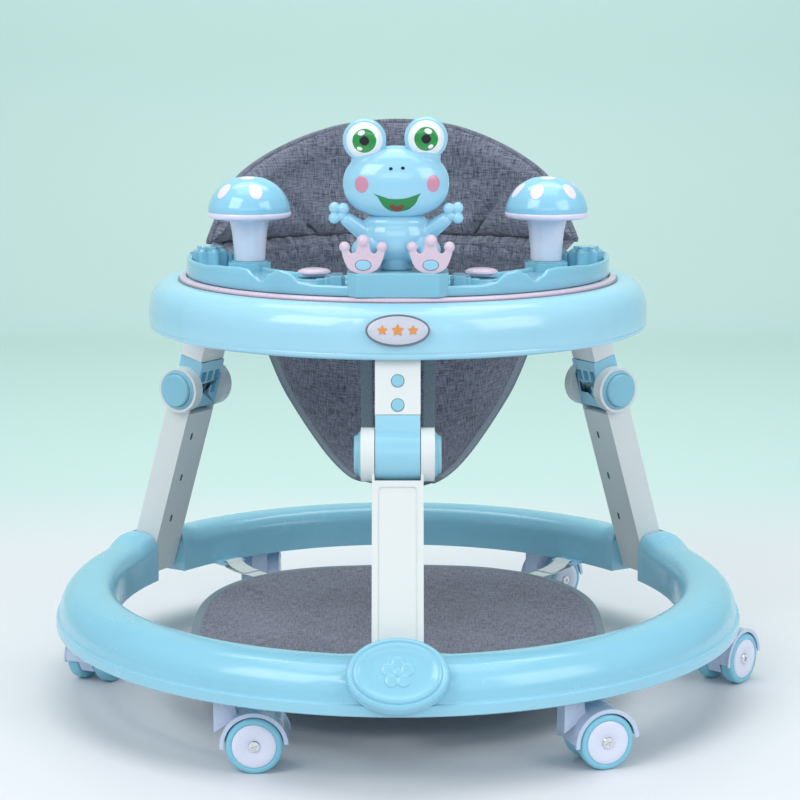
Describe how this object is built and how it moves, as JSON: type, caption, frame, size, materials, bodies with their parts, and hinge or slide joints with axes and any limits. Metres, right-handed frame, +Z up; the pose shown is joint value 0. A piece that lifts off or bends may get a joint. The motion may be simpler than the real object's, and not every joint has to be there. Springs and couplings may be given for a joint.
{
  "type": "baby walker",
  "caption": "Round folding baby walker with a padded fabric seat, a toy tray with a frog and two mushroom rattles, telescoping legs and twin-wheel casters.",
  "frame": {"origin": "middle of the footprint, on the floor under the wheels", "axes": "+Z up, -Y is the front with the oval cover and the frog, +X to the viewer's right when looking from the front"},
  "size_m": [0.7083, 0.7026, 0.5686],
  "materials": {
    "badge_plate": "gloss",
    "blue_plastic": "gloss",
    "lilac_plastic": "gloss",
    "wheel_plastic": "satin",
    "mat_fabric": "satin",
    "frog_plastic": "gloss",
    "steel": "satin",
    "white_plastic": "gloss",
    "webbing": "satin",
    "mushroom_stem_plastic": "gloss",
    "pink_plastic": "gloss",
    "seat_fabric": "satin",
    "toy_tray_plastic": "gloss"
  },
  "bodies": {
    "front_lower": {"front_lower_leg": "white_plastic", "front_knee_pin": "steel"},
    "front_knuckle": {"front_knuckle": "blue_plastic"},
    "front_sleeve": {"front_sleeve": "white_plastic"},
    "front_knee_button_a": {"front_knee_button_a": "blue_plastic"},
    "front_knee_button_b": {"front_knee_button_b": "blue_plastic"},
    "front_height_button": {"front_height_button": "blue_plastic"},
    "left_lower": {"left_lower_leg": "white_plastic", "left_knee_pin": "steel"},
    "left_knuckle": {"left_knuckle": "blue_plastic"},
    "left_sleeve": {"left_sleeve": "white_plastic"},
    "left_knee_button_a": {"left_knee_button_a": "blue_plastic"},
    "left_knee_button_b": {"left_knee_button_b": "blue_plastic"},
    "left_height_button": {"left_height_button": "blue_plastic"},
    "right_lower": {"right_lower_leg": "white_plastic", "right_knee_pin": "steel"},
    "right_knuckle": {"right_knuckle": "blue_plastic"},
    "right_sleeve": {"right_sleeve": "white_plastic"},
    "right_knee_button_a": {"right_knee_button_a": "blue_plastic"},
    "right_knee_button_b": {"right_knee_button_b": "blue_plastic"},
    "right_height_button": {"right_height_button": "blue_plastic"},
    "base": {"base_ring": "blue_plastic", "base_front_boss": "blue_plastic", "foot_mat": "mat_fabric", "mat_strap_left": "webbing", "mat_strap_right": "webbing", "front_foot_pin": "steel", "left_foot_pin": "steel", "right_foot_pin": "steel"},
    "tray": {"tray_ring": "blue_plastic", "toy_tray": "toy_tray_plastic", "pink_trim": "pink_plastic", "badge": "badge_plate", "mushroom_left_stem": "mushroom_stem_plastic", "mushroom_right_stem": "mushroom_stem_plastic", "seat": "seat_fabric"},
    "mushroom_left_cap": {"mushroom_left_cap": "blue_plastic"},
    "music_button_left": {"music_button_left": "pink_plastic"},
    "mushroom_right_cap": {"mushroom_right_cap": "blue_plastic"},
    "music_button_right": {"music_button_right": "pink_plastic"},
    "frog": {"frog_body": "frog_plastic", "frog_head": "frog_plastic"},
    "caster_fl": {"caster_fl_housing": "lilac_plastic"},
    "caster_fl_wheels": {"caster_fl_wheel_outer": "wheel_plastic", "caster_fl_wheel_inner": "wheel_plastic"},
    "caster_fr": {"caster_fr_housing": "lilac_plastic"},
    "caster_fr_wheels": {"caster_fr_wheel_outer": "wheel_plastic", "caster_fr_wheel_inner": "wheel_plastic"},
    "caster_l": {"caster_l_housing": "lilac_plastic"},
    "caster_l_wheels": {"caster_l_wheel_outer": "wheel_plastic", "caster_l_wheel_inner": "wheel_plastic"},
    "caster_r": {"caster_r_housing": "lilac_plastic"},
    "caster_r_wheels": {"caster_r_wheel_outer": "wheel_plastic", "caster_r_wheel_inner": "wheel_plastic"},
    "caster_rl": {"caster_rl_housing": "lilac_plastic"},
    "caster_rl_wheels": {"caster_rl_wheel_outer": "wheel_plastic", "caster_rl_wheel_inner": "wheel_plastic"},
    "caster_rr": {"caster_rr_housing": "lilac_plastic"},
    "caster_rr_wheels": {"caster_rr_wheel_outer": "wheel_plastic", "caster_rr_wheel_inner": "wheel_plastic"}
  },
  "joints": [
    {"name": "fold", "type": "hinge", "parent": "base", "child": "front_lower", "pos_m": [-0.01235, -0.29627, 0.088], "axis": [-1, 0, 0], "range_deg": [0, 45]},
    {"name": "front_knee", "type": "hinge", "parent": "front_lower", "child": "front_knuckle", "pos_m": [-0.01235, -0.23727, 0.2775], "axis": [-1, 0, 0], "range_deg": [-118.33, 0]},
    {"name": "height", "type": "slide", "parent": "front_knuckle", "child": "front_sleeve", "axis": [0, -0.2816, -0.9595], "range_m": [-0.0215, 0]},
    {"name": "front_knee_press_a", "type": "slide", "parent": "front_lower", "child": "front_knee_button_a", "axis": [1, 0, 0], "range_m": [0, 0.0035], "stiffness_N_per_m": 600, "springref_m": -0.002},
    {"name": "front_knee_press_b", "type": "slide", "parent": "front_lower", "child": "front_knee_button_b", "axis": [-1, 0, 0], "range_m": [0, 0.0035], "stiffness_N_per_m": 600, "springref_m": -0.002},
    {"name": "front_snap_press", "type": "slide", "parent": "front_sleeve", "child": "front_height_button", "axis": [0, 0.9595, -0.2816], "range_m": [0, 0.0052], "stiffness_N_per_m": 600, "springref_m": -0.002},
    {"name": "left_foot_hinge", "type": "hinge", "parent": "base", "child": "left_lower", "pos_m": [-0.27735, 0.16273, 0.088], "axis": [0.5, 0.866, 0], "range_deg": [0, 45]},
    {"name": "left_knee", "type": "hinge", "parent": "left_lower", "child": "left_knuckle", "pos_m": [-0.22626, 0.13323, 0.2775], "axis": [0.5, 0.866, 0], "range_deg": [-118.33, 0]},
    {"name": "left_height", "type": "slide", "parent": "left_knuckle", "child": "left_sleeve", "axis": [-0.2439, 0.1408, -0.9595], "range_m": [-0.0215, 0]},
    {"name": "left_knee_press_a", "type": "slide", "parent": "left_lower", "child": "left_knee_button_a", "axis": [-0.5, -0.866, 0], "range_m": [0, 0.0035], "stiffness_N_per_m": 600, "springref_m": -0.002},
    {"name": "left_knee_press_b", "type": "slide", "parent": "left_lower", "child": "left_knee_button_b", "axis": [0.5, 0.866, 0], "range_m": [0, 0.0035], "stiffness_N_per_m": 600, "springref_m": -0.002},
    {"name": "left_snap_press", "type": "slide", "parent": "left_sleeve", "child": "left_height_button", "axis": [0.831, -0.4798, -0.2816], "range_m": [0, 0.0052], "stiffness_N_per_m": 600, "springref_m": -0.002},
    {"name": "right_foot_hinge", "type": "hinge", "parent": "base", "child": "right_lower", "pos_m": [0.25265, 0.16273, 0.088], "axis": [0.5, -0.866, 0], "range_deg": [0, 45]},
    {"name": "right_knee", "type": "hinge", "parent": "right_lower", "child": "right_knuckle", "pos_m": [0.20156, 0.13323, 0.2775], "axis": [0.5, -0.866, 0], "range_deg": [-118.33, 0]},
    {"name": "right_height", "type": "slide", "parent": "right_knuckle", "child": "right_sleeve", "axis": [0.2439, 0.1408, -0.9595], "range_m": [-0.0215, 0]},
    {"name": "right_knee_press_a", "type": "slide", "parent": "right_lower", "child": "right_knee_button_a", "axis": [-0.5, 0.866, 0], "range_m": [0, 0.0035], "stiffness_N_per_m": 600, "springref_m": -0.002},
    {"name": "right_knee_press_b", "type": "slide", "parent": "right_lower", "child": "right_knee_button_b", "axis": [0.5, -0.866, 0], "range_m": [0, 0.0035], "stiffness_N_per_m": 600, "springref_m": -0.002},
    {"name": "right_snap_press", "type": "slide", "parent": "right_sleeve", "child": "right_height_button", "axis": [-0.831, -0.4798, -0.2816], "range_m": [0, 0.0052], "stiffness_N_per_m": 600, "springref_m": -0.002},
    {"name": "tray_level", "type": "hinge", "parent": "front_sleeve", "child": "tray", "pos_m": [-0.01235, -0.20777, 0.378], "axis": [-1, 0, 0], "range_deg": [0, 73.33], "deforming": ["seat"]},
    {"name": "mushroom_left_spin", "type": "hinge", "parent": "tray", "child": "mushroom_left_cap", "pos_m": [-0.15685, -0.01227, 0.4666], "axis": [0, 0, 1], "continuous": true},
    {"name": "music_press_left", "type": "slide", "parent": "tray", "child": "music_button_left", "axis": [0, 0, -1], "range_m": [0, 0.002], "stiffness_N_per_m": 400, "springref_m": -0.002},
    {"name": "mushroom_right_spin", "type": "hinge", "parent": "tray", "child": "mushroom_right_cap", "pos_m": [0.13215, -0.01227, 0.4666], "axis": [0, 0, 1], "continuous": true},
    {"name": "music_press_right", "type": "slide", "parent": "tray", "child": "music_button_right", "axis": [0, 0, -1], "range_m": [0, 0.002], "stiffness_N_per_m": 400, "springref_m": -0.002},
    {"name": "frog_turn", "type": "hinge", "parent": "tray", "child": "frog", "pos_m": [-0.01385, -0.16627, 0.434], "axis": [0, 0, 1], "range_deg": [-25, 25]},
    {"name": "caster_fl_swivel", "type": "hinge", "parent": "base", "child": "caster_fl", "pos_m": [-0.16579, -0.26709, 0.06], "axis": [0, 0, 1], "continuous": true},
    {"name": "caster_fl_roll", "type": "hinge", "parent": "caster_fl", "child": "caster_fl_wheels", "pos_m": [-0.13879, -0.26709, 0.0255], "axis": [0, 1, 0], "continuous": true},
    {"name": "caster_fr_swivel", "type": "hinge", "parent": "base", "child": "caster_fr", "pos_m": [0.14109, -0.26709, 0.06], "axis": [0, 0, 1], "continuous": true},
    {"name": "caster_fr_roll", "type": "hinge", "parent": "caster_fr", "child": "caster_fr_wheels", "pos_m": [0.16646, -0.25785, 0.0255], "axis": [-0.342, 0.9397, 0], "continuous": true},
    {"name": "caster_l_swivel", "type": "hinge", "parent": "base", "child": "caster_l", "pos_m": [-0.32649, -0.02884, 0.06], "axis": [0, 0, 1], "continuous": true},
    {"name": "caster_l_roll", "type": "hinge", "parent": "caster_l", "child": "caster_l_wheels", "pos_m": [-0.31551, -0.00418, 0.0255], "axis": [-0.9135, 0.4067, 0], "continuous": true},
    {"name": "caster_r_swivel", "type": "hinge", "parent": "base", "child": "caster_r", "pos_m": [0.30179, -0.02884, 0.06], "axis": [0, 0, 1], "continuous": true},
    {"name": "caster_r_roll", "type": "hinge", "parent": "caster_r", "child": "caster_r_wheels", "pos_m": [0.31915, -0.00816, 0.0255], "axis": [-0.766, 0.6428, 0], "continuous": true},
    {"name": "caster_rl_swivel", "type": "hinge", "parent": "base", "child": "caster_rl", "pos_m": [-0.1706, 0.28383, 0.06], "axis": [0, 0, 1], "continuous": true},
    {"name": "caster_rl_roll", "type": "hinge", "parent": "caster_rl", "child": "caster_rl_wheels", "pos_m": [-0.1706, 0.31083, 0.0255], "axis": [-1, 0, 0], "continuous": true},
    {"name": "caster_rr_swivel", "type": "hinge", "parent": "base", "child": "caster_rr", "pos_m": [0.1459, 0.28383, 0.06], "axis": [0, 0, 1], "continuous": true},
    {"name": "caster_rr_roll", "type": "hinge", "parent": "caster_rr", "child": "caster_rr_wheels", "pos_m": [0.16499, 0.30292, 0.0255], "axis": [-0.7071, 0.7071, 0], "continuous": true}
  ],
  "couplings": [
    {"joint": "front_knee", "follows": "fold", "ratio": -2.6163},
    {"joint": "left_foot_hinge", "follows": "fold", "ratio": 1},
    {"joint": "left_knee", "follows": "fold", "ratio": -2.6163},
    {"joint": "left_height", "follows": "height", "ratio": 1},
    {"joint": "right_foot_hinge", "follows": "fold", "ratio": 1},
    {"joint": "right_knee", "follows": "fold", "ratio": -2.6163},
    {"joint": "right_height", "follows": "height", "ratio": 1},
    {"joint": "tray_level", "follows": "fold", "ratio": 1.6163}
  ]
}
